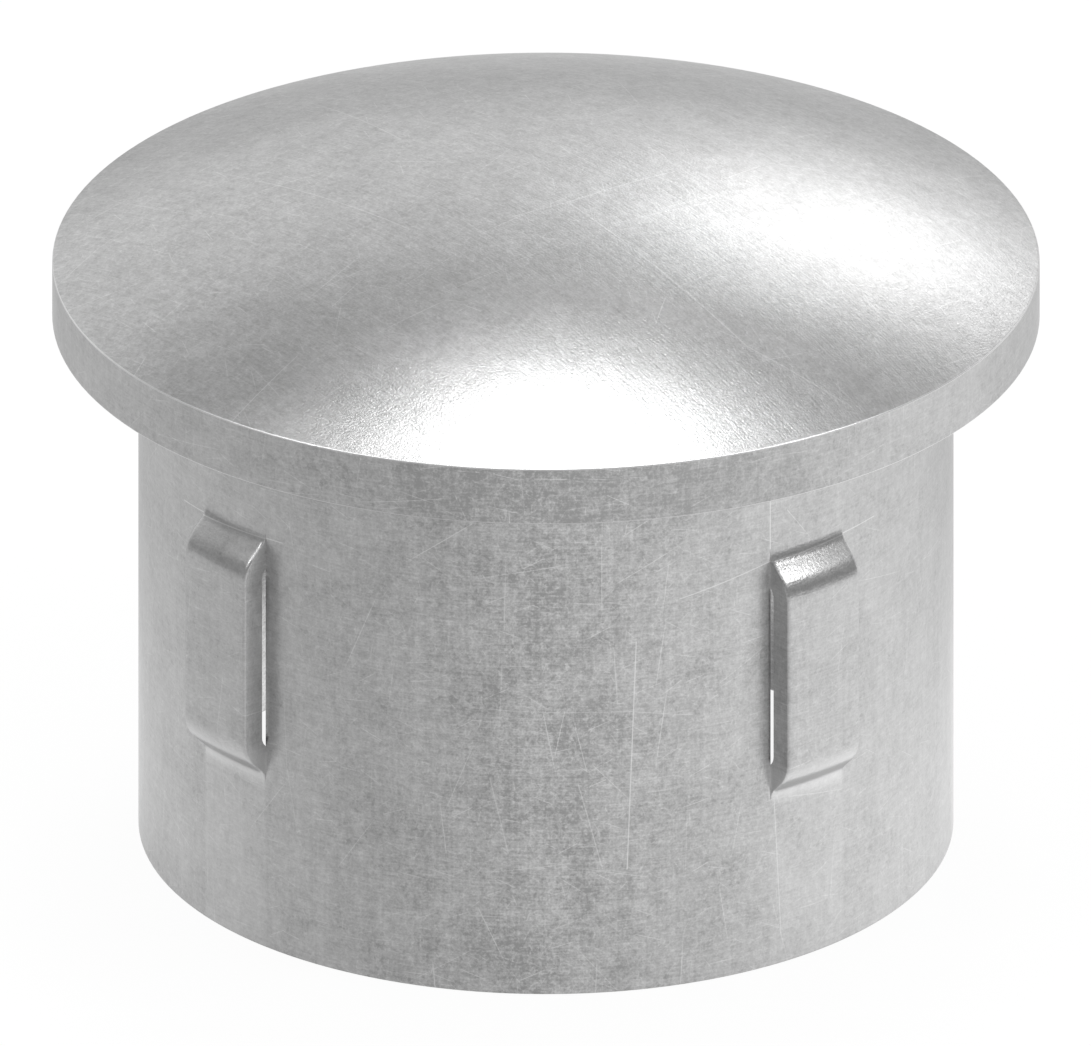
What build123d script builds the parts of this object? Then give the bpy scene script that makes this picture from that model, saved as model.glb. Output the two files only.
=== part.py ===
from build123d import *
import os
from math import radians, tan

# Domed end cap that is knocked into the open end of a round steel tube.
# Millimetres, +Z up. The origin is the centre of the seat, the flat ring that lands on the tube's end:
# the head stands above it and the spigot goes down into the tube.

# Head, as wide as the tube is outside
head_diameter = 42.4
rim_height = 2.6
crown_rise = 4.2
rim_edge_break = 0.15

# Spigot, a thin sleeve that is open at its mouth and runs up into the underside of the head
spigot_diameter = 35.0
spigot_length = 24.0
wall = 1.0
ceiling_height = 1.2
ceiling_corner = 0.8
mouth_edge_break = 0.12

# Spring lugs, strips of the wall that are cut free along both sides and pressed outwards
lug_count = 4
lug_width = 4.0
lug_length = 12.0
lug_below_seat = 4.25
lug_rise = 1.2
ramp_angle = 41.5
root_radius = 0.6
shoulder_inside_radius = 0.1

head_radius = head_diameter / 2
spigot_radius = spigot_diameter / 2
bore_radius = spigot_radius - wall
lug_top = -lug_below_seat
lug_bottom = lug_top - lug_length
lug_middle = (lug_top + lug_bottom) / 2


def turned_body():
    """Head and spigot, half a section through the axis turned all the way round it."""
    # The crown is part of a sphere, level at the axis and ending at the top of the rim.
    # Inside, a flat ceiling closes the bore a little above the seat.
    crown_top = rim_height + crown_rise
    corner_breaks = {
        (head_radius, rim_height): rim_edge_break,
        (head_radius, 0): rim_edge_break,
        (spigot_radius, -spigot_length): mouth_edge_break,
        (bore_radius, -spigot_length): mouth_edge_break,
        (bore_radius, ceiling_height): ceiling_corner,
    }
    with BuildPart() as body:
        with BuildSketch(Plane.XZ) as section:
            with BuildLine():
                TangentArc((0, crown_top), (head_radius, rim_height), tangent=(1, 0))
                Polyline(
                    (head_radius, rim_height),
                    (head_radius, 0),
                    (spigot_radius, 0),
                    (spigot_radius, -spigot_length),
                    (bore_radius, -spigot_length),
                    (bore_radius, ceiling_height),
                    (0, ceiling_height),
                    (0, crown_top),
                )
            make_face()
            for corner, length in corner_breaks.items():
                chamfer(section.vertices().sort_by_distance(corner)[0], length)
        revolve(axis=Axis.Z)
    return body.part


def strip_side(wall_face, root, shoulder):
    """One face of a lug's strip in section: along the wall, out over the ramp, flat, and back again."""
    # A bend of radius r that turns by the ramp's angle starts r * bend_reach before its corner.
    # The strip runs on into the wall at both ends, so that the two are one piece.
    bend_reach = tan(radians(ramp_angle / 2))
    root_corner = lug_top - root * bend_reach
    shoulder_corner = root_corner - lug_rise / tan(radians(ramp_angle))
    upper_half = [
        (wall_face, lug_top + wall),
        (wall_face, root_corner),
        (wall_face + lug_rise, shoulder_corner),
    ]
    lower_half = [(r, 2 * lug_middle - z) for r, z in reversed(upper_half)]
    return FilletPolyline(upper_half + lower_half, radius=[root, shoulder, shoulder, root])


def lug_block(height):
    """A block as wide as a lug, from the axis out past the lug on -X, centred on the lug's height."""
    block = Box(
        spigot_radius + lug_rise + wall,
        lug_width,
        height,
        align=(Align.MAX, Align.CENTER, Align.CENTER),
        mode=Mode.PRIVATE,
    )
    return Pos(0, 0, lug_middle) * block


def lug_strip():
    """A lug's strip, on -X: as thick as the wall all along, curved like it and as wide as its slot."""
    shoulder_outside_radius = shoulder_inside_radius + wall
    root_inside_radius = root_radius + wall
    with BuildPart() as strip:
        with BuildSketch(Plane.XZ):
            with BuildLine():
                outer = strip_side(spigot_radius, root_radius, shoulder_outside_radius)
                inner = strip_side(bore_radius, root_inside_radius, shoulder_inside_radius)
                Line(outer @ 0, inner @ 0)
                Line(outer @ 1, inner @ 1)
            make_face()
        revolve(axis=Axis.Z)
        add(lug_block(lug_length + 2 * wall), mode=Mode.INTERSECT)
    return strip.part


def end_cap():
    """The whole cap: the turned body, slotted under each lug, with the lugs' strips across the slots."""
    with BuildPart() as cap:
        add(turned_body())
        with PolarLocations(0, lug_count):
            add(lug_block(lug_length), mode=Mode.SUBTRACT)
        with PolarLocations(0, lug_count):
            add(lug_strip())
    return cap.part


os.makedirs("parts", exist_ok=True)
export_step(end_cap(), "parts/end_cap.step")
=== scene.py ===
from math import asin, cos, degrees, pi, radians, sin, sqrt, tan

import bmesh
import bpy
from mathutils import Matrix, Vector


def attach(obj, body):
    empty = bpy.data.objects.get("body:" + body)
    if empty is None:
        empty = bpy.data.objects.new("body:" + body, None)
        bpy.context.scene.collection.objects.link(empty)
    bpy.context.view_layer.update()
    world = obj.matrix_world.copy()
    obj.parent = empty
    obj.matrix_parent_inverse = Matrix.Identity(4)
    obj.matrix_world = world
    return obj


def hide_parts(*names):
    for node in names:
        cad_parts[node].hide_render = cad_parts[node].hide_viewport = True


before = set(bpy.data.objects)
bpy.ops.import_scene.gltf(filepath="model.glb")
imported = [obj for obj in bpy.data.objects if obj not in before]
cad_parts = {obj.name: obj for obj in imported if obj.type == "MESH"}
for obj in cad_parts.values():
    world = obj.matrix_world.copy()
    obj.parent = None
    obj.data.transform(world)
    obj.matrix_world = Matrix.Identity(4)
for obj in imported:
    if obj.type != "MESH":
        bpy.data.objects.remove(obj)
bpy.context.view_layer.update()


# Turned section of the cap
# The cap is drawn from 1 mm zinc-coated steel sheet: a domed head that ends in a straight rim, and an
# open sleeve below it. All of it is round, so one half section holds every height and radius, in mm.
MM = 0.001
head_radius = 21.2
rim_height = 2.6
crown_rise = 4.2
rim_rounding = 0.07
spigot_radius = 17.5
spigot_length = 24.0
wall = 1.0
bore_radius = spigot_radius - wall
mouth_rounding = 0.12
ceiling_height = 1.2
ceiling_rounding = 0.8

# Rows of points on the crown, in each rounded edge and across the ceiling, and the distance from a bend
# at which one more row holds it tight
crown_rows = 44
edge_steps = 5
ceiling_rows = 6
support = 0.04

lug_count = 4
lug_width = 4.0
lug_length = 12.0
lug_below_seat = 4.25
lug_rise = 1.2
ramp_angle = radians(46)
outer_bends = (1.0, 1.6)
inner_bends = (outer_bends[0] + wall, outer_bends[1] - wall)
bend_steps = 9


def arc(centre_r, centre_z, radius, start, end, steps):
    """Points (r, z) of an arc in the half section. Angles are in degrees from straight up, outwards."""
    turns = [radians(start + (end - start) * i / steps) for i in range(steps + 1)]
    return [(centre_r + radius * sin(a), centre_z + radius * cos(a)) for a in turns]


def bend_ends(bends):
    """Depths below the slot's end where a face's root bend ends, and its shoulder starts and ends."""
    root, shoulder = bends
    half = tan(ramp_angle / 2)
    shoulder_end = (root + shoulder) * half + lug_rise / tan(ramp_angle)
    return root * sin(ramp_angle), shoulder_end - shoulder * sin(ramp_angle), shoulder_end


def strip_rise(depth, bends):
    """How far a face of the strip stands out of the wall, at a depth from the slot's nearer end."""
    root, shoulder = bends
    root_end, shoulder_start, shoulder_end = bend_ends(bends)
    if depth <= 0:
        return 0.0
    if depth < root_end:
        return root - sqrt(root * root - depth * depth)
    if depth < shoulder_start:
        return root * (1 - cos(ramp_angle)) + (depth - root_end) * tan(ramp_angle)
    if depth < shoulder_end:
        left = shoulder_end - depth
        return lug_rise - shoulder + sqrt(shoulder * shoulder - left * left)
    return lug_rise


def bend_depths(bends):
    """Depths at which a face of the strip needs a row of points, in both of its bends."""
    root, shoulder = bends
    shoulder_end = bend_ends(bends)[2]
    sines = [sin(ramp_angle * i / bend_steps) for i in range(bend_steps + 1)]
    return [root * s for s in sines] + [shoulder_end - shoulder * s for s in sines]


# The slit opens where the strip's inner face has risen by the whole wall.
inner_root_end = bend_ends(inner_bends)[0]
rise_left = wall - inner_bends[0] * (1 - cos(ramp_angle))
slit_depth = inner_root_end + rise_left / tan(ramp_angle)
ramp_depths = sorted(set(
    [round(d, 5) for d in bend_depths(outer_bends) + bend_depths(inner_bends)]
    + [round(slit_depth, 5), bend_ends(inner_bends)[2] + support]
))
flat_start = ramp_depths[-1]
flat_rows = 8
flat_step = (lug_length - 2 * flat_start) / flat_rows
half_depths = ramp_depths + [flat_start + flat_step * i for i in range(1, flat_rows)]
slot_depths = half_depths + [lug_length - d for d in reversed(ramp_depths)]
slot_levels = [-lug_below_seat - d for d in slot_depths]

# Rows of the plain wall above and below the slots, by their distance below the seat
slots_end = lug_below_seat + lug_length
foot_plain = spigot_length - mouth_rounding
plain_above = [0.0, support, 1.0, 2.0, 3.0, lug_below_seat - support]
plain_below = [slots_end + support, 17.2, 18.8, 20.4, 22.0, foot_plain - support, foot_plain]
wall_levels = [-d for d in plain_above] + slot_levels + [-d for d in plain_below]

sphere_radius = (head_radius ** 2 + crown_rise ** 2) / (2 * crown_rise)
sphere_centre = rim_height + crown_rise - sphere_radius
rim_centre = head_radius - rim_rounding
crown_angle = asin(rim_centre / (sphere_radius - rim_rounding))
rim_top_centre = sphere_centre + (sphere_radius - rim_rounding) * cos(crown_angle)
crown_edge = degrees(crown_angle)

# The crown's last row lies just inside the first row of the rim's rounding.
row_gap = 0.05
crown_section = arc(0, sphere_centre, sphere_radius, 0, crown_edge - row_gap, crown_rows)
crown_section += arc(rim_centre, rim_top_centre, rim_rounding, crown_edge, 90, edge_steps)
crown_section += [(head_radius, rim_top_centre - support), (head_radius, rim_rounding + support)]
crown_section += arc(rim_centre, rim_rounding, rim_rounding, 90, 180, edge_steps)
crown_section += [(rim_centre - support, 0.0)]
foot_outside = arc(spigot_radius - mouth_rounding, -foot_plain, mouth_rounding, 90, 180, edge_steps)
foot_inside = arc(bore_radius + mouth_rounding, -foot_plain, mouth_rounding, 180, 270, edge_steps)
ceiling_low = ceiling_height - ceiling_rounding
ceiling_centre = bore_radius - ceiling_rounding
ceiling_section = arc(ceiling_centre, ceiling_low, ceiling_rounding, 90, 0, edge_steps)
ceiling_shares = [1 - i / ceiling_rows for i in range(1, ceiling_rows + 1)]
ceiling_section += [(ceiling_centre * share, ceiling_height) for share in ceiling_shares]


def slot_depth(level):
    """Depth of a wall level from the nearer end of the slots, below 0 outside them."""
    below_top = -lug_below_seat - level
    return min(below_top, lug_length - below_top)


# Each row of the section: radius, height, and then its values: how far a lug's strip and its cut edge
# stand out there, and the wall's side, 1 outside and -1 inside, within the slots.
row_values = ("strip_rise", "cut_rise", "slot_side")
section = [(r, z, 0.0, 0.0, 0.0) for r, z in crown_section]
for level in wall_levels[:-1]:
    depth = slot_depth(level)
    outer, inner = strip_rise(depth, outer_bends), strip_rise(depth, inner_bends)
    section.append((spigot_radius, level, outer, max(0.0, inner - wall), float(depth >= 0)))
section += [(r, z, 0.0, 0.0, 0.0) for r, z in foot_outside + foot_inside]
for level in reversed(wall_levels[1:-1]):
    depth = slot_depth(level)
    inner = strip_rise(depth, inner_bends)
    section.append((bore_radius, level, inner, min(inner, wall), -float(depth >= 0)))
section += [(r, z, 0.0, 0.0, 0.0) for r, z in ceiling_section]

section_mesh = bpy.data.meshes.new("cap_section")
section_edges = [(i, i + 1) for i in range(len(section) - 1)]
section_mesh.from_pydata([(row[0] * MM, 0, row[1] * MM) for row in section], section_edges, [])
for column, name in enumerate(row_values, start=2):
    scale = 1 if name == "slot_side" else MM
    values = section_mesh.attributes.new(name, "FLOAT", "POINT")
    values.data.foreach_set("value", [row[column] * scale for row in section])
cap = bpy.data.objects.new("zinc_coated_cap", section_mesh)
bpy.context.scene.collection.objects.link(cap)


# Drawing the section round, with the spring lugs
# A tool lances two slits at each lug and presses the strip between them outwards. The cap is the same
# four times round, so one part of the turn carries one lug and is repeated about the axis.
def add_node(tree, kind, inputs=None, output=0, **settings):
    """Adds a node with its settings, fills or links its sockets, and gives back one of its outputs."""
    node = tree.nodes.new(kind)
    for setting, value in settings.items():
        setattr(node, setting, value)
    for socket, value in (inputs or {}).items():
        if isinstance(value, bpy.types.NodeSocket):
            tree.links.new(value, node.inputs[socket])
        else:
            node.inputs[socket].default_value = value
    return node.outputs[output]


turning = bpy.data.node_groups.new("turned_cap_with_lugs", "GeometryNodeTree")
turning.interface.new_socket("Geometry", in_out="INPUT", socket_type="NodeSocketGeometry")
turning.interface.new_socket("Geometry", in_out="OUTPUT", socket_type="NodeSocketGeometry")
steel = bpy.data.materials.new("zinc_coated_steel")
lug_edge_rounding = 0.11
columns_in_lug = 26
columns_between_lugs = 34
merge_distance = 0.0005
cap_sizes = {
    "Lug Count": ("NodeSocketInt", lug_count),
    "Lug Width": ("NodeSocketFloat", lug_width * MM),
    "Lug Edge Rounding": ("NodeSocketFloat", lug_edge_rounding * MM),
    "Columns in a Lug": ("NodeSocketInt", columns_in_lug),
    "Columns between Lugs": ("NodeSocketInt", columns_between_lugs),
    "Spigot Radius": ("NodeSocketFloat", spigot_radius * MM),
    "Bore Radius": ("NodeSocketFloat", bore_radius * MM),
    "Merge Distance": ("NodeSocketFloat", merge_distance * MM),
    "Material": ("NodeSocketMaterial", steel),
}
for name, (kind, _) in cap_sizes.items():
    turning.interface.new_socket(name, in_out="INPUT", socket_type=kind)
sizes = turning.nodes.new("NodeGroupInput").outputs
half_width = add_node(turning, "ShaderNodeMath", {0: sizes["Lug Width"], 1: 0.5}, operation="MULTIPLY")

# One part of the turn as a grid: a row for each point of the section. Its columns are the wall's edge,
# the strip's cut edge, the strip itself, the other two edges, and then the plain wall to the next lug.
edge_columns = 2.0
rows = add_node(
    turning, "GeometryNodeAttributeDomainSize", {"Geometry": sizes["Geometry"]}, output="Point Count"
)
strip_end = add_node(
    turning, "ShaderNodeMath", {0: sizes["Columns in a Lug"], 1: edge_columns}, operation="ADD"
)
wall_start = add_node(turning, "ShaderNodeMath", {0: strip_end, 1: edge_columns}, operation="ADD")
part_end = add_node(
    turning, "ShaderNodeMath", {0: wall_start, 1: sizes["Columns between Lugs"]}, operation="ADD"
)
column_count = add_node(turning, "ShaderNodeMath", {0: part_end, 1: 1.0}, operation="ADD")
grid = add_node(turning, "GeometryNodeMeshGrid", {"Vertices X": column_count, "Vertices Y": rows})
point = add_node(turning, "GeometryNodeInputIndex")
column = add_node(turning, "FunctionNodeIntegerMath", {0: point, 1: rows}, operation="DIVIDE_FLOOR")
row = add_node(turning, "FunctionNodeIntegerMath", {0: point, 1: rows}, operation="MODULO")

# The section's point and values at this row
sampled = {}
for name in row_values:
    stored = add_node(turning, "GeometryNodeInputNamedAttribute", {"Name": name})
    sampled[name] = add_node(
        turning,
        "GeometryNodeSampleIndex",
        {"Geometry": sizes["Geometry"], "Value": stored, "Index": row},
    )
section_place = add_node(turning, "GeometryNodeInputPosition")
section_point = add_node(
    turning,
    "GeometryNodeSampleIndex",
    {"Geometry": sizes["Geometry"], "Value": section_place, "Index": row},
    data_type="FLOAT_VECTOR",
)
section_axes = add_node(turning, "ShaderNodeSeparateXYZ", {0: section_point}, output="X").node.outputs
radius, height = section_axes["X"], section_axes["Z"]

# A column's layer: 0 on the wall, 1 on a cut edge, 2 on the strip
from_far_side = add_node(turning, "ShaderNodeMath", {0: wall_start, 1: column}, operation="SUBTRACT")
nearer_side = add_node(turning, "ShaderNodeMath", {0: column, 1: from_far_side}, operation="MINIMUM")
layer = add_node(
    turning, "ShaderNodeClamp", {"Value": nearer_side, "Min": 0.0, "Max": edge_columns}
)

# Across the lug the columns draw together towards its edges, where the rounding needs them.
strip_column = add_node(turning, "ShaderNodeMath", {0: column, 1: edge_columns}, operation="SUBTRACT")
strip_turn = add_node(
    turning,
    "ShaderNodeMapRange",
    {"Value": strip_column, "From Max": sizes["Columns in a Lug"], "To Max": pi},
)
strip_cosine = add_node(turning, "ShaderNodeMath", {0: strip_turn}, operation="COSINE")
across_left = add_node(
    turning, "ShaderNodeMath", {0: strip_cosine, 1: half_width}, operation="MULTIPLY"
)
across = add_node(turning, "ShaderNodeMath", {0: across_left, 1: -1.0}, operation="MULTIPLY")

# Angle about the axis
wall_radius = add_node(
    turning,
    "ShaderNodeClamp",
    {"Value": radius, "Min": sizes["Bore Radius"], "Max": sizes["Spigot Radius"]},
)
across_share = add_node(turning, "ShaderNodeMath", {0: across, 1: wall_radius}, operation="DIVIDE")
lug_angle = add_node(turning, "ShaderNodeMath", {0: across_share}, operation="ARCSINE")
edge_share = add_node(turning, "ShaderNodeMath", {0: half_width, 1: wall_radius}, operation="DIVIDE")
edge_angle = add_node(turning, "ShaderNodeMath", {0: edge_share}, operation="ARCSINE")
part_turn = add_node(turning, "ShaderNodeMath", {0: 2 * pi, 1: sizes["Lug Count"]}, operation="DIVIDE")
plain_turn = add_node(
    turning, "ShaderNodeMath", {0: edge_angle, 1: -2.0, 2: part_turn}, operation="MULTIPLY_ADD"
)
plain_share = add_node(
    turning,
    "ShaderNodeMapRange",
    {"Value": column, "From Min": wall_start, "From Max": part_end},
)
angle = add_node(
    turning, "ShaderNodeMath", {0: plain_share, 1: plain_turn, 2: lug_angle}, operation="MULTIPLY_ADD"
)

# How far this column stands out: the strip by its own rise, the cut edge by the cut's
from_cut = add_node(turning, "ShaderNodeMath", {0: layer, 1: 1.0}, operation="SUBTRACT")
strip_part = add_node(turning, "ShaderNodeMath", {0: from_cut, 1: 0.0}, operation="MAXIMUM")
off_cut = add_node(turning, "ShaderNodeMath", {0: from_cut}, operation="ABSOLUTE")
cut_part = add_node(turning, "ShaderNodeMath", {0: 1.0, 1: off_cut}, operation="SUBTRACT")
cut_stand = add_node(
    turning, "ShaderNodeMath", {0: sampled["cut_rise"], 1: cut_part}, operation="MULTIPLY"
)
stand = add_node(
    turning,
    "ShaderNodeMath",
    {0: sampled["strip_rise"], 1: strip_part, 2: cut_stand},
    operation="MULTIPLY_ADD",
)
stood_radius = add_node(turning, "ShaderNodeMath", {0: radius, 1: stand}, operation="ADD")
across_square = add_node(turning, "ShaderNodeMath", {0: across, 1: across}, operation="MULTIPLY")
reaches = []
for length in (stood_radius, radius):
    square = add_node(turning, "ShaderNodeMath", {0: length, 1: length}, operation="MULTIPLY")
    rest = add_node(turning, "ShaderNodeMath", {0: square, 1: across_square}, operation="SUBTRACT")
    reaches.append(add_node(turning, "ShaderNodeMath", {0: rest}, operation="SQRT"))
reach = add_node(turning, "ShaderNodeMath", {0: reaches[0], 1: reaches[1]}, operation="SUBTRACT")

# The strip's outer edges are rounded, by no more than half its rise where it starts.
across_size = add_node(turning, "ShaderNodeMath", {0: across}, operation="ABSOLUTE")
to_edge = add_node(turning, "ShaderNodeMath", {0: half_width, 1: across_size}, operation="SUBTRACT")
into_rounding = add_node(
    turning,
    "ShaderNodeMapRange",
    {"Value": to_edge, "From Max": sizes["Lug Edge Rounding"], "To Min": 1.0, "To Max": 0.0},
)
into_square = add_node(
    turning, "ShaderNodeMath", {0: into_rounding, 1: into_rounding}, operation="MULTIPLY"
)
left_square = add_node(turning, "ShaderNodeMath", {0: 1.0, 1: into_square}, operation="SUBTRACT")
left_share = add_node(turning, "ShaderNodeMath", {0: left_square}, operation="SQRT")
fall_share = add_node(turning, "ShaderNodeMath", {0: 1.0, 1: left_share}, operation="SUBTRACT")
half_stand = add_node(turning, "ShaderNodeMath", {0: stand, 1: 0.5}, operation="MULTIPLY")
rounding = add_node(
    turning, "ShaderNodeMath", {0: half_stand, 1: sizes["Lug Edge Rounding"]}, operation="MINIMUM"
)
outside = add_node(
    turning, "ShaderNodeMath", {0: sampled["slot_side"], 1: 0.5}, operation="GREATER_THAN"
)
outside_strip = add_node(turning, "ShaderNodeMath", {0: outside, 1: strip_part}, operation="MULTIPLY")
strip_rounding = add_node(
    turning, "ShaderNodeMath", {0: rounding, 1: outside_strip}, operation="MULTIPLY"
)
fall = add_node(turning, "ShaderNodeMath", {0: fall_share, 1: strip_rounding}, operation="MULTIPLY")
push = add_node(turning, "ShaderNodeMath", {0: reach, 1: fall}, operation="SUBTRACT")

cosine = add_node(turning, "ShaderNodeMath", {0: angle}, operation="COSINE")
sine = add_node(turning, "ShaderNodeMath", {0: angle}, operation="SINE")
round_x = add_node(
    turning, "ShaderNodeMath", {0: radius, 1: cosine, 2: push}, operation="MULTIPLY_ADD"
)
round_y = add_node(turning, "ShaderNodeMath", {0: radius, 1: sine}, operation="MULTIPLY")
turned_point = add_node(turning, "ShaderNodeCombineXYZ", {"X": round_x, "Y": round_y, "Z": height})
part_mesh = add_node(turning, "GeometryNodeSetPosition", {"Geometry": grid, "Position": turned_point})

# Where the slit is open, nothing joins the wall's edge to the strip's. The mean layer of a face that
# joins two layers is half a layer from the cut edge's, and that of a plain one is a whole layer.
joining_limit = 0.75
open_limit = -0.4
face_layer = add_node(turning, "GeometryNodeFieldOnDomain", {"Value": from_cut}, domain="POINT")
face_side = add_node(
    turning, "GeometryNodeFieldOnDomain", {"Value": sampled["slot_side"]}, domain="POINT"
)
face_step = add_node(turning, "ShaderNodeMath", {0: face_layer}, operation="ABSOLUTE")
joins_layers = add_node(
    turning, "ShaderNodeMath", {0: face_step, 1: joining_limit}, operation="LESS_THAN"
)
side_step = add_node(turning, "ShaderNodeMath", {0: face_layer, 1: face_side}, operation="MULTIPLY")
side_is_open = add_node(turning, "ShaderNodeMath", {0: side_step, 1: open_limit}, operation="LESS_THAN")
slit_face = add_node(
    turning, "ShaderNodeMath", {0: joins_layers, 1: side_is_open}, operation="MULTIPLY"
)
slit_cut = add_node(
    turning,
    "GeometryNodeDeleteGeometry",
    {"Geometry": part_mesh, "Selection": slit_face},
    domain="FACE",
)

# The part repeated round the axis, and closed into one shell
axis_points = add_node(turning, "GeometryNodePoints", {"Count": sizes["Lug Count"]})
turn_number = add_node(turning, "GeometryNodeInputIndex")
turn_angle = add_node(turning, "ShaderNodeMath", {0: turn_number, 1: part_turn}, operation="MULTIPLY")
turn_about_axis = add_node(turning, "ShaderNodeCombineXYZ", {"Z": turn_angle})
parts_round = add_node(
    turning,
    "GeometryNodeInstanceOnPoints",
    {"Points": axis_points, "Instance": slit_cut, "Rotation": turn_about_axis},
)
realized = add_node(turning, "GeometryNodeRealizeInstances", {"Geometry": parts_round})
merged = add_node(
    turning,
    "GeometryNodeMergeByDistance",
    {"Geometry": realized, "Distance": sizes["Merge Distance"]},
)
smoothed = add_node(turning, "GeometryNodeSetShadeSmooth", {"Geometry": merged})
coated = add_node(
    turning, "GeometryNodeSetMaterial", {"Geometry": smoothed, "Material": sizes["Material"]}
)
turning_output = turning.nodes.new("NodeGroupOutput")
turning.links.new(coated, turning_output.inputs["Geometry"])

modifier = cap.modifiers.new("turning", "NODES")
modifier.node_group = turning
for item in turning.interface.items_tree:
    if item.in_out == "INPUT" and item.name in cap_sizes:
        modifier[item.identifier] = cap_sizes[item.name][1]
evaluated = cap.evaluated_get(bpy.context.evaluated_depsgraph_get())
cap_mesh = bpy.data.meshes.new_from_object(evaluated)
cap.modifiers.remove(modifier)
cap.data = cap_mesh

sharp_angle = radians(32)
shell = bmesh.new()
shell.from_mesh(cap_mesh)
bmesh.ops.recalc_face_normals(shell, faces=shell.faces)
shell.to_mesh(cap_mesh)
shell.free()
cap_mesh.set_sharp_from_angle(angle=sharp_angle)

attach(cap, "root")
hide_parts("end_cap")


# Zinc-coated steel
# Cold-rolled steel sheet with a thin zinc coating, drawn and pressed after it was coated. To the eye it
# is a light neutral grey metal, dull but with soft highlights, mottled and flecked by the coating, with
# faint lines from rolling and drawing and thin scratches from handling.
def linear(hex_colour):
    """Linear red, green, blue and alpha of an sRGB hex colour."""
    parts = [int(hex_colour[i:i + 2], 16) / 255 for i in (1, 3, 5)]
    return [c / 12.92 if c <= 0.04045 else ((c + 0.055) / 1.055) ** 2.4 for c in parts] + [1.0]


steel.use_nodes = True
coat = steel.node_tree
coat.nodes.clear()

# Places on the sheet in millimetres: round the wall and up it, counted from the side that the photograph
# shows, and X and Y on the crown
metres = add_node(coat, "ShaderNodeTexCoord", output="Object")
place = add_node(coat, "ShaderNodeVectorMath", {0: metres, "Scale": 1 / MM}, operation="SCALE")
camera_side = radians(-40)
faced = add_node(
    coat, "ShaderNodeVectorRotate", {"Vector": place, "Angle": -camera_side}, rotation_type="Z_AXIS"
)
faced_axes = add_node(coat, "ShaderNodeSeparateXYZ", {0: faced}, output="X").node.outputs
wall_axes_flat = add_node(coat, "ShaderNodeVectorMath", {0: faced, 1: (1, 1, 0)}, operation="MULTIPLY")
turn_about = add_node(
    coat, "ShaderNodeMath", {0: faced_axes["Y"], 1: faced_axes["X"]}, operation="ARCTAN2"
)
around = add_node(coat, "ShaderNodeMath", {0: turn_about, 1: spigot_radius}, operation="MULTIPLY")
wall_place = add_node(coat, "ShaderNodeCombineXYZ", {"X": around, "Y": faced_axes["Z"]})
crown_start = rim_height - rim_rounding / 2
on_crown = add_node(
    coat, "ShaderNodeMath", {0: faced_axes["Z"], 1: crown_start}, operation="GREATER_THAN"
)
on_wall = add_node(coat, "ShaderNodeMath", {0: 1.0, 1: on_crown}, operation="SUBTRACT")
crown_place = add_node(coat, "ShaderNodeVectorMath", {0: place, 1: (1, 1, 0)}, operation="MULTIPLY")
sheet_place = add_node(
    coat, "ShaderNodeMix", {0: on_crown, 4: wall_place, 5: crown_place}, output=1, data_type="VECTOR"
)

# The coating's own patterns: size across in mm, size along the axis in mm, detail and roughness. Mottle
# is its cloudiness, flecks, curls and specks are its crystals, and streaks come from drawing the sleeve.
# The real grain is only some hundredths of a millimetre across, and is drawn coarser so that it shows.
noise_middle = 0.5
patterns = {
    "mottle": (2.8, 2.8, 3.0, 0.8),
    "flecks": (0.42, 0.42, 4.0, 0.9),
    "grain": (0.1, 0.1, 1.0, 0.5),
    "curls": (0.5, 0.5, 1.0, 0.5),
    "streaks": (0.9, 25.0, 3.0, 0.7),
    "fine_streaks": (0.16, 7.0, 2.0, 0.6),
    "specks": (0.22, 0.22, 2.0, 0.7),
}
pattern = {}
for name, (across_mm, along_mm, detail, roughness) in patterns.items():
    per_mm = (1 / across_mm, 1 / across_mm, 1 / along_mm)
    scaled = add_node(coat, "ShaderNodeVectorMath", {0: place, 1: per_mm}, operation="MULTIPLY")
    noise_inputs = {"Vector": scaled, "Scale": 1.0, "Detail": detail, "Roughness": roughness}
    pattern[name] = add_node(coat, "ShaderNodeTexNoise", noise_inputs)

# Fine lines from rolling the sheet, round the walls and along X on the crown: size along and across in
# mm, detail and roughness. Real ones are about 0.01 mm wide, and these are wider so that they show.
rolled = {"dashes": (0.36, 0.09, 2.0, 0.7), "long_dashes": (3.0, 0.11, 1.0, 0.5)}
for name, (along_mm, across_mm, detail, roughness) in rolled.items():
    per_mm = (1 / along_mm, 1 / across_mm, 1)
    scaled = add_node(coat, "ShaderNodeVectorMath", {0: sheet_place, 1: per_mm}, operation="MULTIPLY")
    noise_inputs = {"Vector": scaled, "Scale": 1.0, "Detail": detail, "Roughness": roughness}
    pattern[name] = add_node(coat, "ShaderNodeTexNoise", noise_inputs, noise_dimensions="2D")

# Dark specks, only in the darker patches of the walls
in_patch = add_node(
    coat, "ShaderNodeMapRange", {"Value": pattern["mottle"], "From Min": 0.54, "From Max": 0.4}
)
dark_speck = add_node(
    coat, "ShaderNodeMapRange", {"Value": pattern["specks"], "From Min": 0.52, "From Max": 0.72}
)
wall_patch = add_node(coat, "ShaderNodeMath", {0: in_patch, 1: on_wall}, operation="MULTIPLY")
pattern["dark_specks"] = add_node(
    coat, "ShaderNodeMath", {0: wall_patch, 1: dark_speck}, operation="MULTIPLY"
)

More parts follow.
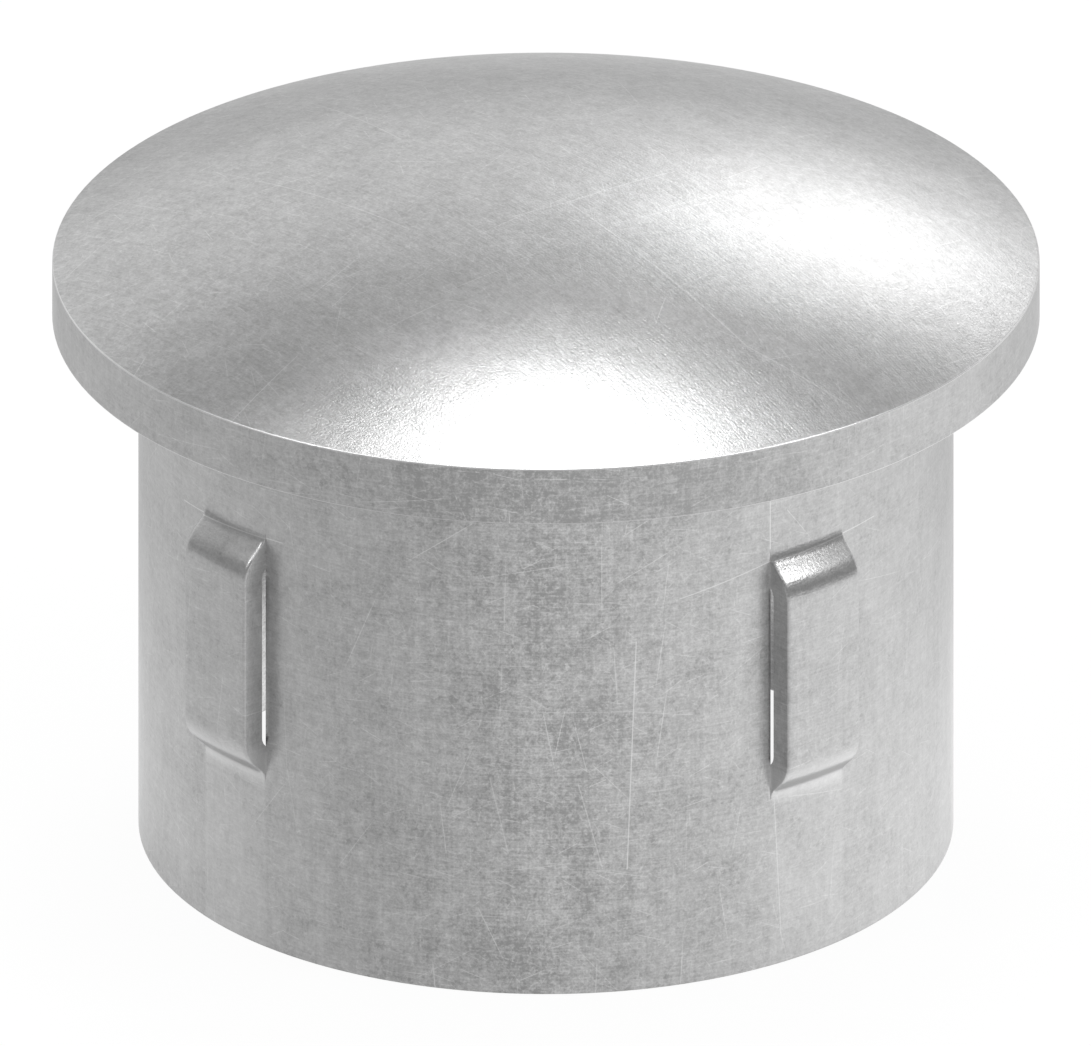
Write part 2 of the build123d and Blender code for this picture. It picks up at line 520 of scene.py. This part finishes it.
# Fine curled lines, thin and light, where the curls' pattern crosses its middle value
curl_reach = 0.035
off_curl = add_node(
    coat, "ShaderNodeMath", {0: pattern["curls"], 1: noise_middle}, operation="SUBTRACT"
)
curl_size = add_node(coat, "ShaderNodeMath", {0: off_curl}, operation="ABSOLUTE")
pattern["curled_lines"] = add_node(
    coat,
    "ShaderNodeMapRange",
    {"Value": curl_size, "From Max": curl_reach, "To Min": 1.0, "To Max": 0.0},
)

# Scattered scratches: one straight line in each cell, at an angle and of a strength of its own. It fades
# out from 0.2 to 0.5 of the cells' spacing to either side of the cell's point.
fade_start = 0.2
fade_end = 0.5
random_middle = 0.5
scattered = bpy.data.node_groups.new("scattered_scratches", "ShaderNodeTree")
scattered.interface.new_socket("Amount", in_out="OUTPUT", socket_type="NodeSocketFloat")
scattered.interface.new_socket("Place", in_out="INPUT", socket_type="NodeSocketVector")
for name in ("Spacing", "Angle", "Spread", "Width", "Offset"):
    scattered.interface.new_socket(name, in_out="INPUT", socket_type="NodeSocketFloat")
given = scattered.nodes.new("NodeGroupInput").outputs
per_spacing = add_node(scattered, "ShaderNodeMath", {0: 1.0, 1: given["Spacing"]}, operation="DIVIDE")
cell_place = add_node(
    scattered, "ShaderNodeVectorMath", {0: given["Place"], "Scale": per_spacing}, operation="SCALE"
)
moved = add_node(
    scattered, "ShaderNodeVectorMath", {0: cell_place, 1: given["Offset"]}, operation="ADD"
)
cell = add_node(
    scattered, "ShaderNodeTexVoronoi", {"Vector": moved, "Scale": 1.0}, voronoi_dimensions="2D"
).node.outputs
from_centre = add_node(
    scattered, "ShaderNodeVectorMath", {0: moved, 1: cell["Position"]}, operation="SUBTRACT"
)
chance = add_node(scattered, "ShaderNodeSeparateColor", {0: cell["Color"]}, output="Red").node.outputs
off_middle = add_node(
    scattered, "ShaderNodeMath", {0: chance["Red"], 1: random_middle}, operation="SUBTRACT"
)
line_angle = add_node(
    scattered,
    "ShaderNodeMath",
    {0: off_middle, 1: given["Spread"], 2: given["Angle"]},
    operation="MULTIPLY_ADD",
)
back_turn = add_node(scattered, "ShaderNodeMath", {0: line_angle, 1: -1.0}, operation="MULTIPLY")
in_line = add_node(
    scattered,
    "ShaderNodeVectorRotate",
    {"Vector": from_centre, "Angle": back_turn},
    rotation_type="Z_AXIS",
)
in_line_size = add_node(scattered, "ShaderNodeVectorMath", {0: in_line}, operation="ABSOLUTE")
line_axes = add_node(scattered, "ShaderNodeSeparateXYZ", {0: in_line_size}, output="X").node.outputs
width_share = add_node(
    scattered, "ShaderNodeMath", {0: given["Width"], 1: per_spacing}, operation="MULTIPLY"
)
line_core = add_node(
    scattered,
    "ShaderNodeMapRange",
    {"Value": line_axes["Y"], "From Max": width_share, "To Min": 1.0, "To Max": 0.0},
    interpolation_type="SMOOTHSTEP",
)
line_ends = add_node(
    scattered,
    "ShaderNodeMapRange",
    {
        "Value": line_axes["X"],
        "From Min": fade_start,
        "From Max": fade_end,
        "To Min": 1.0,
        "To Max": 0.0,
    },
)
line = add_node(scattered, "ShaderNodeMath", {0: line_core, 1: line_ends}, operation="MULTIPLY")
line_strength = add_node(
    scattered, "ShaderNodeMath", {0: line, 1: chance["Green"]}, operation="MULTIPLY"
)
scattered_output = scattered.nodes.new("NodeGroupOutput")
scattered.links.new(line_strength, scattered_output.inputs["Amount"])

# Spacing in mm, middle angle and spread in degrees, half width in mm. Real hairlines are finer than
# these, which are wide enough to show. Each set has cells of its own, moved by an offset.
cell_offset = 7.3
scratch_sets = {
    "hairs": (0.7, 0, 180, 0.03),
    "short_scratches": (1.5, 0, 70, 0.03),
    "long_scratches": (4.5, 20, 180, 0.03),
    "upright_scratches": (4.0, 90, 24, 0.035),
}
for number, (name, (spacing, middle, spread, half_width_mm)) in enumerate(scratch_sets.items()):
    set_inputs = {
        "Place": sheet_place,
        "Spacing": spacing,
        "Angle": radians(middle),
        "Spread": radians(spread),
        "Width": half_width_mm,
        "Offset": cell_offset * number,
    }
    pattern[name] = add_node(
        coat, "ShaderNodeGroup", set_inputs, output="Amount", node_tree=scattered
    )

# Single scratches where the photograph shows them, as straight lines between two places on the sheet
placed = bpy.data.node_groups.new("placed_scratch", "ShaderNodeTree")
placed.interface.new_socket("Amount", in_out="OUTPUT", socket_type="NodeSocketFloat")
for name in ("Place", "Start", "End"):
    placed.interface.new_socket(name, in_out="INPUT", socket_type="NodeSocketVector")
placed.interface.new_socket("Width", in_out="INPUT", socket_type="NodeSocketFloat")
ends = placed.nodes.new("NodeGroupInput").outputs
run = add_node(placed, "ShaderNodeVectorMath", {0: ends["End"], 1: ends["Start"]}, operation="SUBTRACT")
from_start = add_node(
    placed, "ShaderNodeVectorMath", {0: ends["Place"], 1: ends["Start"]}, operation="SUBTRACT"
)
run_dot = add_node(
    placed, "ShaderNodeVectorMath", {0: from_start, 1: run}, output="Value", operation="DOT_PRODUCT"
)
run_square = add_node(
    placed, "ShaderNodeVectorMath", {0: run, 1: run}, output="Value", operation="DOT_PRODUCT"
)
run_share = add_node(
    placed, "ShaderNodeMath", {0: run_dot, 1: run_square}, operation="DIVIDE", use_clamp=True
)
nearest = add_node(placed, "ShaderNodeVectorMath", {0: run, "Scale": run_share}, operation="SCALE")
off_line = add_node(
    placed, "ShaderNodeVectorMath", {0: from_start, 1: nearest}, output="Value", operation="DISTANCE"
)
near_line = add_node(
    placed,
    "ShaderNodeMapRange",
    {"Value": off_line, "From Max": ends["Width"], "To Min": 1.0, "To Max": 0.0},
    interpolation_type="SMOOTHSTEP",
)
placed_output = placed.nodes.new("NodeGroupOutput")
placed.links.new(near_line, placed_output.inputs["Amount"])

# Half width in mm, strength, and the places on the sheet that the scratch runs through
wall_scratches = [
    (0.045, 0.7, (3.91, -7.48), (3.51, -18.19)),
    (0.045, 0.4, (-2.41, -13.84), (-1.62, -17.31)),
    (0.045, 0.45, (1.4, -14.08), (2.44, -18.11)),
    (0.05, 0.6, (10.2, -0.3), (10.2, -4.2)),
    (0.05, 0.5, (10.32, -14.67), (10.75, -22.55)),
    (0.04, 0.6, (16.37, -4.62), (10.23, -4.79), (5.86, -5.69)),
    (0.04, 0.6, (-19.12, -4.95), (-12.31, -4.53)),
    (0.035, 0.35, (-3.31, -10.52), (3.55, -10.72), (6.45, -11.27)),
]
crown_scratches = [
    (0.05, 0.45, (2.79, -1.11), (11.1, -1.58), (15.44, -1.69), (20.06, -0.07)),
    (0.04, 0.4, (2.2, -3.86), (2.79, -1.11), (3.0, 4.71)),
    (0.04, 0.3, (5.47, -0.44), (6.15, 4.76)),
    (0.05, 0.35, (-9.58, -8.04), (-0.17, -7.48)),
    (0.05, 0.35, (-15.49, -0.17), (-7.46, -1.86)),
    (0.04, 0.35, (9.91, 13.54), (14.33, 13.42)),
    (0.04, 0.45, (3.8, -20.73), (3.11, -16.56)),
]
side_scratches = {}
for side, scratches in (("wall", wall_scratches), ("crown", crown_scratches)):
    most = 0.0
    for half_width_mm, strength, *points in scratches:
        for start, end in zip(points[:-1], points[1:]):
            line_inputs = {
                "Place": sheet_place,
                "Start": (*start, 0),
                "End": (*end, 0),
                "Width": half_width_mm,
            }
            scratch = add_node(
                coat, "ShaderNodeGroup", line_inputs, output="Amount", node_tree=placed
            )
            amount = add_node(coat, "ShaderNodeMath", {0: scratch, 1: strength}, operation="MULTIPLY")
            most = add_node(coat, "ShaderNodeMath", {0: most, 1: amount}, operation="MAXIMUM")
    side_scratches[side] = most
pattern["placed_scratches"] = add_node(
    coat,
    "ShaderNodeMix",
    {0: on_crown, 2: side_scratches["wall"], 3: side_scratches["crown"]},
)

# A painted highlight lies along the lugs' lower bends, and painted light makes the wall below them a
# little lighter, down to the mouth. The highlight band has a middle height, a bright core and a reach,
# all in mm.
quarter = 2 * pi / lug_count
lug_highlight_inside = lug_width / 2 - 0.1
lug_highlight_outside = lug_width / 2 + 0.15
lug_highlight_middle = -15.35
lug_highlight_core = 0.2
lug_highlight_reach = 1.5
light_below_start = -15.8
light_below_full = -16.8
light_below_share = 0.16
from_lug = add_node(coat, "ShaderNodeMath", {0: turn_about, 1: camera_side}, operation="ADD")
lug_turn = add_node(
    coat, "ShaderNodeMath", {0: from_lug, 1: -quarter / 2, 2: quarter / 2}, operation="WRAP"
)
lug_turn_size = add_node(coat, "ShaderNodeMath", {0: lug_turn}, operation="ABSOLUTE")
beside_lug = add_node(
    coat, "ShaderNodeMath", {0: lug_turn_size, 1: spigot_radius}, operation="MULTIPLY"
)
over_lug = add_node(
    coat,
    "ShaderNodeMapRange",
    {
        "Value": beside_lug,
        "From Min": lug_highlight_inside,
        "From Max": lug_highlight_outside,
        "To Min": 1.0,
        "To Max": 0.0,
    },
)
from_lug_highlight = add_node(
    coat, "ShaderNodeMath", {0: faced_axes["Z"], 1: lug_highlight_middle}, operation="SUBTRACT"
)
from_lug_highlight_size = add_node(coat, "ShaderNodeMath", {0: from_lug_highlight}, operation="ABSOLUTE")
lug_highlight_height = add_node(
    coat,
    "ShaderNodeMapRange",
    {
        "Value": from_lug_highlight_size,
        "From Min": lug_highlight_core,
        "From Max": lug_highlight_reach,
        "To Min": 1.0,
        "To Max": 0.0,
    },
    interpolation_type="SMOOTHSTEP",
)
painted_light_below_lug = add_node(
    coat,
    "ShaderNodeMapRange",
    {
        "Value": faced_axes["Z"],
        "From Min": light_below_start,
        "From Max": light_below_full,
        "To Min": 0.0,
        "To Max": light_below_share,
    },
)
lug_highlight_band = add_node(coat, "ShaderNodeMath", {0: lug_highlight_height, 1: painted_light_below_lug}, operation="MAXIMUM")
painted_lug_highlight = add_node(coat, "ShaderNodeMath", {0: over_lug, 1: lug_highlight_band}, operation="MULTIPLY")

# Painted highlights along the rim's two edges, each a bright line 0.07 mm high
edge_highlight_inset = 0.02
edge_highlight_half_height = 0.035
rim_depth = 0.06
edge_highlight_share = 0.7
rim_middle = add_node(
    coat, "ShaderNodeMath", {0: faced_axes["Z"], 1: rim_height / 2}, operation="SUBTRACT"
)
rim_middle_size = add_node(coat, "ShaderNodeMath", {0: rim_middle}, operation="ABSOLUTE")
near_edge = add_node(
    coat,
    "ShaderNodeMath",
    {0: rim_middle_size, 1: rim_height / 2 - edge_highlight_inset, 2: edge_highlight_half_height},
    operation="COMPARE",
)
off_axis_mm = add_node(
    coat, "ShaderNodeVectorMath", {0: wall_axes_flat}, output="Value", operation="LENGTH"
)
at_rim = add_node(
    coat, "ShaderNodeMath", {0: off_axis_mm, 1: head_radius - rim_depth}, operation="GREATER_THAN"
)
painted_edge_highlight = add_node(coat, "ShaderNodeMath", {0: near_edge, 1: at_rim}, operation="MULTIPLY")
edge_highlight_tone = add_node(coat, "ShaderNodeMath", {0: painted_edge_highlight, 1: edge_highlight_share}, operation="MULTIPLY")


def weighted(amounts, middle):
    """The patterns added up by their amounts, about a middle value. Lines and specks start from 0."""
    total = middle
    for name, amount in amounts.items():
        mean = noise_middle if name in patterns or name in rolled else 0.0
        about_mean = add_node(coat, "ShaderNodeMath", {0: pattern[name], 1: mean}, operation="SUBTRACT")
        total = add_node(
            coat, "ShaderNodeMath", {0: about_mean, 1: amount, 2: total}, operation="MULTIPLY_ADD"
        )
    return total


tone_about_middle = weighted(
    {
        "mottle": 0.8,
        "flecks": 1.7,
        "grain": 0.6,
        "streaks": 0.4,
        "fine_streaks": 0.4,
        "dashes": 0.55,
        "long_dashes": 0.4,
        "dark_specks": -0.5,
        "hairs": 0.4,
        "curled_lines": 0.2,
        "short_scratches": 0.7,
        "long_scratches": 0.8,
        "upright_scratches": 0.65,
    },
    middle=-0.08,
)

# The patterns are strongest in the middle of the side that the photograph shows, weak at its flanks, and
# in between on the far side and the crown.
flank_turn = radians(62)
front_extra = 0.9
flank_strength = 0.45
far_start = radians(95)
far_full = radians(135)
far_side_strength = 0.8
crown_strength = 0.68
turn_size = add_node(coat, "ShaderNodeMath", {0: turn_about}, operation="ABSOLUTE")
near_front = add_node(
    coat,
    "ShaderNodeMapRange",
    {"Value": turn_size, "From Max": flank_turn, "To Min": 1.0, "To Max": 0.0},
)
near_front_square = add_node(coat, "ShaderNodeMath", {0: near_front, 1: 2.0}, operation="POWER")
far_strength = add_node(
    coat,
    "ShaderNodeMapRange",
    {
        "Value": turn_size,
        "From Min": far_start,
        "From Max": far_full,
        "To Min": flank_strength,
        "To Max": far_side_strength,
    },
)
wall_strength = add_node(
    coat,
    "ShaderNodeMath",
    {0: near_front_square, 1: front_extra, 2: far_strength},
    operation="MULTIPLY_ADD",
)
tone_strength = add_node(coat, "ShaderNodeMix", {0: on_crown, 2: wall_strength, 3: crown_strength})

# Painted shade darkens one patch of the rim, which is whole for 15 degrees and gone after 38 degrees to
# either side
rim_shade_middle = radians(5)
rim_shade_whole = radians(15)
rim_shade_end = radians(38)
rim_shade_share = 0.22
middle_tone = 0.5
from_rim_shade_middle = add_node(
    coat, "ShaderNodeMath", {0: turn_about, 1: rim_shade_middle}, operation="SUBTRACT"
)
from_rim_shade_size = add_node(coat, "ShaderNodeMath", {0: from_rim_shade_middle}, operation="ABSOLUTE")
rim_shade_there = add_node(
    coat,
    "ShaderNodeMapRange",
    {
        "Value": from_rim_shade_size,
        "From Min": rim_shade_whole,
        "From Max": rim_shade_end,
        "To Min": rim_shade_share,
        "To Max": 0.0,
    },
    interpolation_type="SMOOTHSTEP",
)
painted_rim_shade = add_node(coat, "ShaderNodeMath", {0: rim_shade_there, 1: at_rim}, operation="MULTIPLY")
tone_middle = add_node(coat, "ShaderNodeMath", {0: middle_tone, 1: painted_rim_shade}, operation="SUBTRACT")
tone = add_node(
    coat,
    "ShaderNodeMath",
    {0: tone_about_middle, 1: tone_strength, 2: tone_middle},
    operation="MULTIPLY_ADD",
)
grey = add_node(
    coat,
    "ShaderNodeMix",
    {0: tone, 6: linear("#A6A6A6"), 7: linear("#DCDCDC")},
    output=2,
    data_type="RGBA",
)

# The painted highlights on the lugs and the rim's edges are light, and so is the coating where it is
# scratched, bright and clean.
lug_highlight_share = 0.65
lug_highlight_tone = add_node(coat, "ShaderNodeMath", {0: painted_lug_highlight, 1: lug_highlight_share}, operation="MULTIPLY")
painted_highlights = add_node(coat, "ShaderNodeMath", {0: lug_highlight_tone, 1: edge_highlight_tone}, operation="MAXIMUM")
highlight_or_scratch_share = add_node(
    coat, "ShaderNodeMath", {0: painted_highlights, 1: pattern["placed_scratches"]}, operation="MAXIMUM"
)
grey_with_highlights_and_scratches = add_node(
    coat,
    "ShaderNodeMix",
    {0: highlight_or_scratch_share, 6: grey, 7: linear("#F0F0F0")},
    output=2,
    data_type="RGBA",
)

# Its skin is uneven by some thousandths of a millimetre, which breaks up the highlights' edges.
skin_depth = 0.006 * MM
relief = weighted({"grain": 1.2, "dashes": 0.4, "long_dashes": 0.5}, middle=0.5)
bumped = add_node(coat, "ShaderNodeBump", {"Height": relief, "Distance": skin_depth, "Strength": 1.0})
shader = add_node(
    coat,
    "ShaderNodeBsdfPrincipled",
    {
        "Metallic": 1.0,
        "Base Color": grey_with_highlights_and_scratches,
        "Roughness": 0.3,
        "Normal": bumped,
        "Specular Tint": linear("#DCDCDC"),
    },
)
material_output = coat.nodes.new("ShaderNodeOutputMaterial")
coat.links.new(shader, material_output.inputs["Surface"])


# Camera
# The photograph is a parallel view from 25 degrees above, 50 degrees round from the front, with the
# cap's axis a hair off its middle.
view_azimuth = radians(50)
view_elevation = radians(25)
frame_width = 0.04684
look_at = Vector((0, 0, -9.80 * MM))
off_axis = 0.0193 * MM
camera_distance = 0.25
back = Vector((
    sin(view_azimuth) * cos(view_elevation),
    -cos(view_azimuth) * cos(view_elevation),
    sin(view_elevation),
))
right = Vector((cos(view_azimuth), sin(view_azimuth), 0))
camera_data = bpy.data.cameras.new("camera")
camera_data.type = "ORTHO"
camera_data.ortho_scale = frame_width
camera_data.clip_start = 0.001
camera_data.clip_end = 10
camera = bpy.data.objects.new("camera", camera_data)
camera.location = look_at - right * off_axis + back * camera_distance
camera.rotation_mode = "QUATERNION"
camera.rotation_quaternion = back.to_track_quat("Z", "Y")
bpy.context.scene.collection.objects.link(camera)
bpy.context.scene.camera = camera


# Floor
# A plain white disc that the cap stands on. It is white to the camera, and its matte part takes the
# cap's shadow.
floor_radius = 0.35
floor_segments = 96
floor_mesh = bpy.data.meshes.new("floor")
disc = bmesh.new()
bmesh.ops.create_circle(disc, cap_ends=True, segments=floor_segments, radius=floor_radius)
bmesh.ops.translate(disc, verts=disc.verts, vec=(0, 0, -spigot_length * MM))
disc.to_mesh(floor_mesh)
disc.free()
floor = bpy.data.objects.new("floor", floor_mesh)
bpy.context.scene.collection.objects.link(floor)

white_floor = bpy.data.materials.new("white_floor")
white_floor.use_nodes = True
paint = white_floor.node_tree
paint.nodes.clear()
floor_mesh.materials.append(white_floor)
matte = add_node(paint, "ShaderNodeBsdfDiffuse", {"Color": linear("#F2F2F2")})


def any_ray(tree, *kinds):
    """1 for rays of any of these kinds and 0 for all others."""
    rays = add_node(tree, "ShaderNodeLightPath").node.outputs
    found = rays[kinds[0]]
    for kind in kinds[1:]:
        found = add_node(tree, "ShaderNodeMath", {0: found, 1: rays[kind]}, operation="MAXIMUM")
    return found


# What metal sees of the floor is white with a little more or less light, by the way from the cap's axis.
# Far from the cap it is darker on the left and in front. Within some 15 mm of the cap it is lighter at
# the sides, and most of all behind them, but hardly straight behind the cap.
to_camera = back.xy.normalized().to_3d()
far_slope = right * 0.196 - to_camera * 0.136
far_level = 0.155
corner_slope = 0.115
near_slope = right * -0.019 - to_camera * 0.57
near_level = 0.498
near_reach = 15 * MM
behind_full = -0.9
behind_start = -0.6
behind_left = 0.1
floor_place = add_node(paint, "ShaderNodeTexCoord", output="Object")
floor_flat = add_node(
    paint, "ShaderNodeVectorMath", {0: floor_place, 1: (1, 1, 0)}, operation="MULTIPLY"
)
floor_way = add_node(paint, "ShaderNodeVectorMath", {0: floor_flat}, operation="NORMALIZE")
from_axis = add_node(
    paint, "ShaderNodeVectorMath", {0: floor_flat}, output="Value", operation="LENGTH"
)
from_cap = add_node(paint, "ShaderNodeMath", {0: from_axis, 1: spigot_radius * MM}, operation="SUBTRACT")
near_fall = add_node(paint, "ShaderNodeMath", {0: from_cap, 1: -1 / near_reach}, operation="MULTIPLY")
near_fall_outside = add_node(paint, "ShaderNodeMath", {0: near_fall, 1: 0.0}, operation="MINIMUM")
near_share = add_node(paint, "ShaderNodeMath", {0: near_fall_outside}, operation="EXPONENT")
along = {}
ways = {"far": far_slope, "near": near_slope, "right": right, "camera": to_camera}
for name, way in ways.items():
    along[name] = add_node(
        paint, "ShaderNodeVectorMath", {0: floor_way, 1: way}, output="Value", operation="DOT_PRODUCT"
    )
near_even = add_node(paint, "ShaderNodeMath", {0: along["near"], 1: near_level}, operation="ADD")
not_behind = add_node(
    paint,
    "ShaderNodeMapRange",
    {
        "Value": along["camera"],
        "From Min": behind_full,
        "From Max": behind_start,
        "To Min": behind_left,
        "To Max": 1.0,
    },
    interpolation_type="SMOOTHSTEP",
)
near_more = add_node(paint, "ShaderNodeMath", {0: near_even, 1: not_behind}, operation="MULTIPLY")
far_more = add_node(paint, "ShaderNodeMath", {0: along["far"], 1: far_level}, operation="SUBTRACT")
across_corners = add_node(
    paint, "ShaderNodeMath", {0: along["right"], 1: along["camera"]}, operation="MULTIPLY"
)
corners_more = add_node(
    paint,
    "ShaderNodeMath",
    {0: across_corners, 1: corner_slope, 2: far_more},
    operation="MULTIPLY_ADD",
)
outside_more = add_node(
    paint,
    "ShaderNodeMath",
    {0: near_share, 1: near_more, 2: corners_more},
    operation="MULTIPLY_ADD",
)

# The floor inside the sleeve glows for the metal round it, with painted light on the left and painted
# shade on the right.
shade_start = -3 * MM
shade_full = 2 * MM
under_light = 0.5
under_shade = -0.6
under_cap = add_node(paint, "ShaderNodeMath", {0: from_axis, 1: bore_radius * MM}, operation="LESS_THAN")
off_right = add_node(
    paint, "ShaderNodeVectorMath", {0: floor_flat, 1: right}, output="Value", operation="DOT_PRODUCT"
)
under_more = add_node(
    paint,
    "ShaderNodeMapRange",
    {
        "Value": off_right,
        "From Min": shade_start,
        "From Max": shade_full,
        "To Min": under_light,
        "To Max": under_shade,
    },
)
metal_more = add_node(paint, "ShaderNodeMix", {0: under_cap, 2: outside_more, 3: under_more})
floor_glow = add_node(
    paint,
    "ShaderNodeMath",
    {0: any_ray(paint, "Is Glossy Ray"), 1: metal_more, 2: 1.0},
    operation="MULTIPLY_ADD",
)
glow = add_node(paint, "ShaderNodeEmission", {"Color": linear("#FFFFFF"), "Strength": floor_glow})

# The rest of the floor's look is its matte part, which holds the shadow.
glow_share = 0.93
sees_white = any_ray(paint, "Is Camera Ray", "Is Glossy Ray", "Is Transmission Ray")
floor_share = add_node(paint, "ShaderNodeMath", {0: sees_white, 1: glow_share}, operation="MULTIPLY")
floor_surface = add_node(paint, "ShaderNodeMixShader", {0: floor_share, 1: matte, 2: glow})
floor_output = paint.nodes.new("ShaderNodeOutputMaterial")
paint.links.new(floor_surface, floor_output.inputs["Surface"])


# Studio
# The surroundings are plain white to the camera. Metal sees the studio's soft walls in them. Behind the
# cap they are lit up to 40 degrees and dark above, elsewhere they are dim below and brightest near 60.
world = bpy.data.worlds.new("studio")
world.use_nodes = True
air = world.node_tree
air.nodes.clear()
bpy.context.scene.world = world

# Level of light at each elevation in degrees, as a share of white
studio_levels = {
    "behind": {
        -90: 0.69,
        -12: 0.69,
        2: 0.62,
        14: 1.19,
        26: 0.88,
        36: 1.02,
        46: 0.15,
        56: 0.05,
        66: 0.05,
        75: 0.55,
        90: 0.83,
    },
    "sides": {
        -90: 0.45,
        -12: 0.45,
        2: 0.33,
        14: 0.33,
        26: 0.34,
        36: 0.44,
        46: 0.75,
        56: 1.6,
        66: 1.71,
        75: 0.84,
        90: 0.5,
    },
}
brightest = 2.0
sky_way = add_node(air, "ShaderNodeTexCoord", output="Generated")
sky_height = add_node(air, "ShaderNodeSeparateXYZ", {0: sky_way}, output="Z")
sky_share = add_node(air, "ShaderNodeMath", {0: sky_height, 1: 0.5, 2: 0.5}, operation="MULTIPLY_ADD")
sky_level = {}
for name, levels in studio_levels.items():
    ramp = add_node(air, "ShaderNodeValToRGB", {"Fac": sky_share}).node
    stops = ramp.color_ramp.elements
    for elevation, level in levels.items():
        stop = stops.new((sin(radians(elevation)) + 1) / 2)
        stop.color = [level / brightest] * 3 + [1]
    stops.remove(stops[0])
    stops.remove(stops[-1])
    sky_level[name] = ramp.outputs[0]

# The wall behind the cap reaches about 65 degrees to either side.
behind_edge = 0.3
behind_whole = 0.5
behind = add_node(
    air, "ShaderNodeVectorMath", {0: sky_way, 1: -to_camera}, output="Value", operation="DOT_PRODUCT"
)
behind_share = add_node(
    air,
    "ShaderNodeMapRange",
    {"Value": behind, "From Min": behind_edge, "From Max": behind_whole},
    interpolation_type="SMOOTHSTEP",
)
studio_wall = add_node(
    air,
    "ShaderNodeMix",
    {0: behind_share, 6: sky_level["sides"], 7: sky_level["behind"]},
    output=2,
    data_type="RGBA",
)
white = add_node(air, "ShaderNodeBackground", {"Color": linear("#FFFFFF"), "Strength": 1.0})
walls = add_node(air, "ShaderNodeBackground", {"Color": studio_wall, "Strength": brightest})
seen_by_metal = add_node(
    air, "ShaderNodeMixShader", {0: any_ray(air, "Is Glossy Ray"), 1: white, 2: walls}
)
sees_background = any_ray(air, "Is Camera Ray", "Is Transmission Ray")
sky = add_node(air, "ShaderNodeMixShader", {0: sees_background, 1: seen_by_metal, 2: white})
world_output = air.nodes.new("ShaderNodeOutputWorld")
air.links.new(sky, world_output.inputs["Surface"])

# Round soft lamps that face the cap: degrees to the right of straight behind it, degrees above the
# floor, half the angle that the lamp fills as seen from the cap, and its brightness as a share of white
lamp_distance = 1.2
lamps = {
    "overhead_softbox": (2.7, 70.6, 7.7, 9.9),
    "back_lamp": (14.5, 29.7, 8.4, 2.45),
    "right_lamp": (108, 48, 8, 8.0),
    "left_lamp": (-116, 42, 7, 6.0),
}
for name, (azimuth, elevation, half_angle, radiance) in lamps.items():
    turn, lift = radians(azimuth), radians(elevation)
    towards = right * sin(turn) - to_camera * cos(turn)
    away = towards * cos(lift) + Vector((0, 0, sin(lift)))
    diameter = 2 * lamp_distance * tan(radians(half_angle))
    lamp_data = bpy.data.lights.new(name, "AREA")
    lamp_data.shape = "DISK"
    lamp_data.size = diameter
    lamp_data.energy = radiance * (pi * diameter / 2) ** 2
    lamp = bpy.data.objects.new(name, lamp_data)
    lamp.location = away * lamp_distance
    lamp.rotation_mode = "QUATERNION"
    lamp.rotation_quaternion = away.to_track_quat("Z", "Y")
    bpy.context.scene.collection.objects.link(lamp)

bpy.context.scene.view_settings.view_transform = "Standard"

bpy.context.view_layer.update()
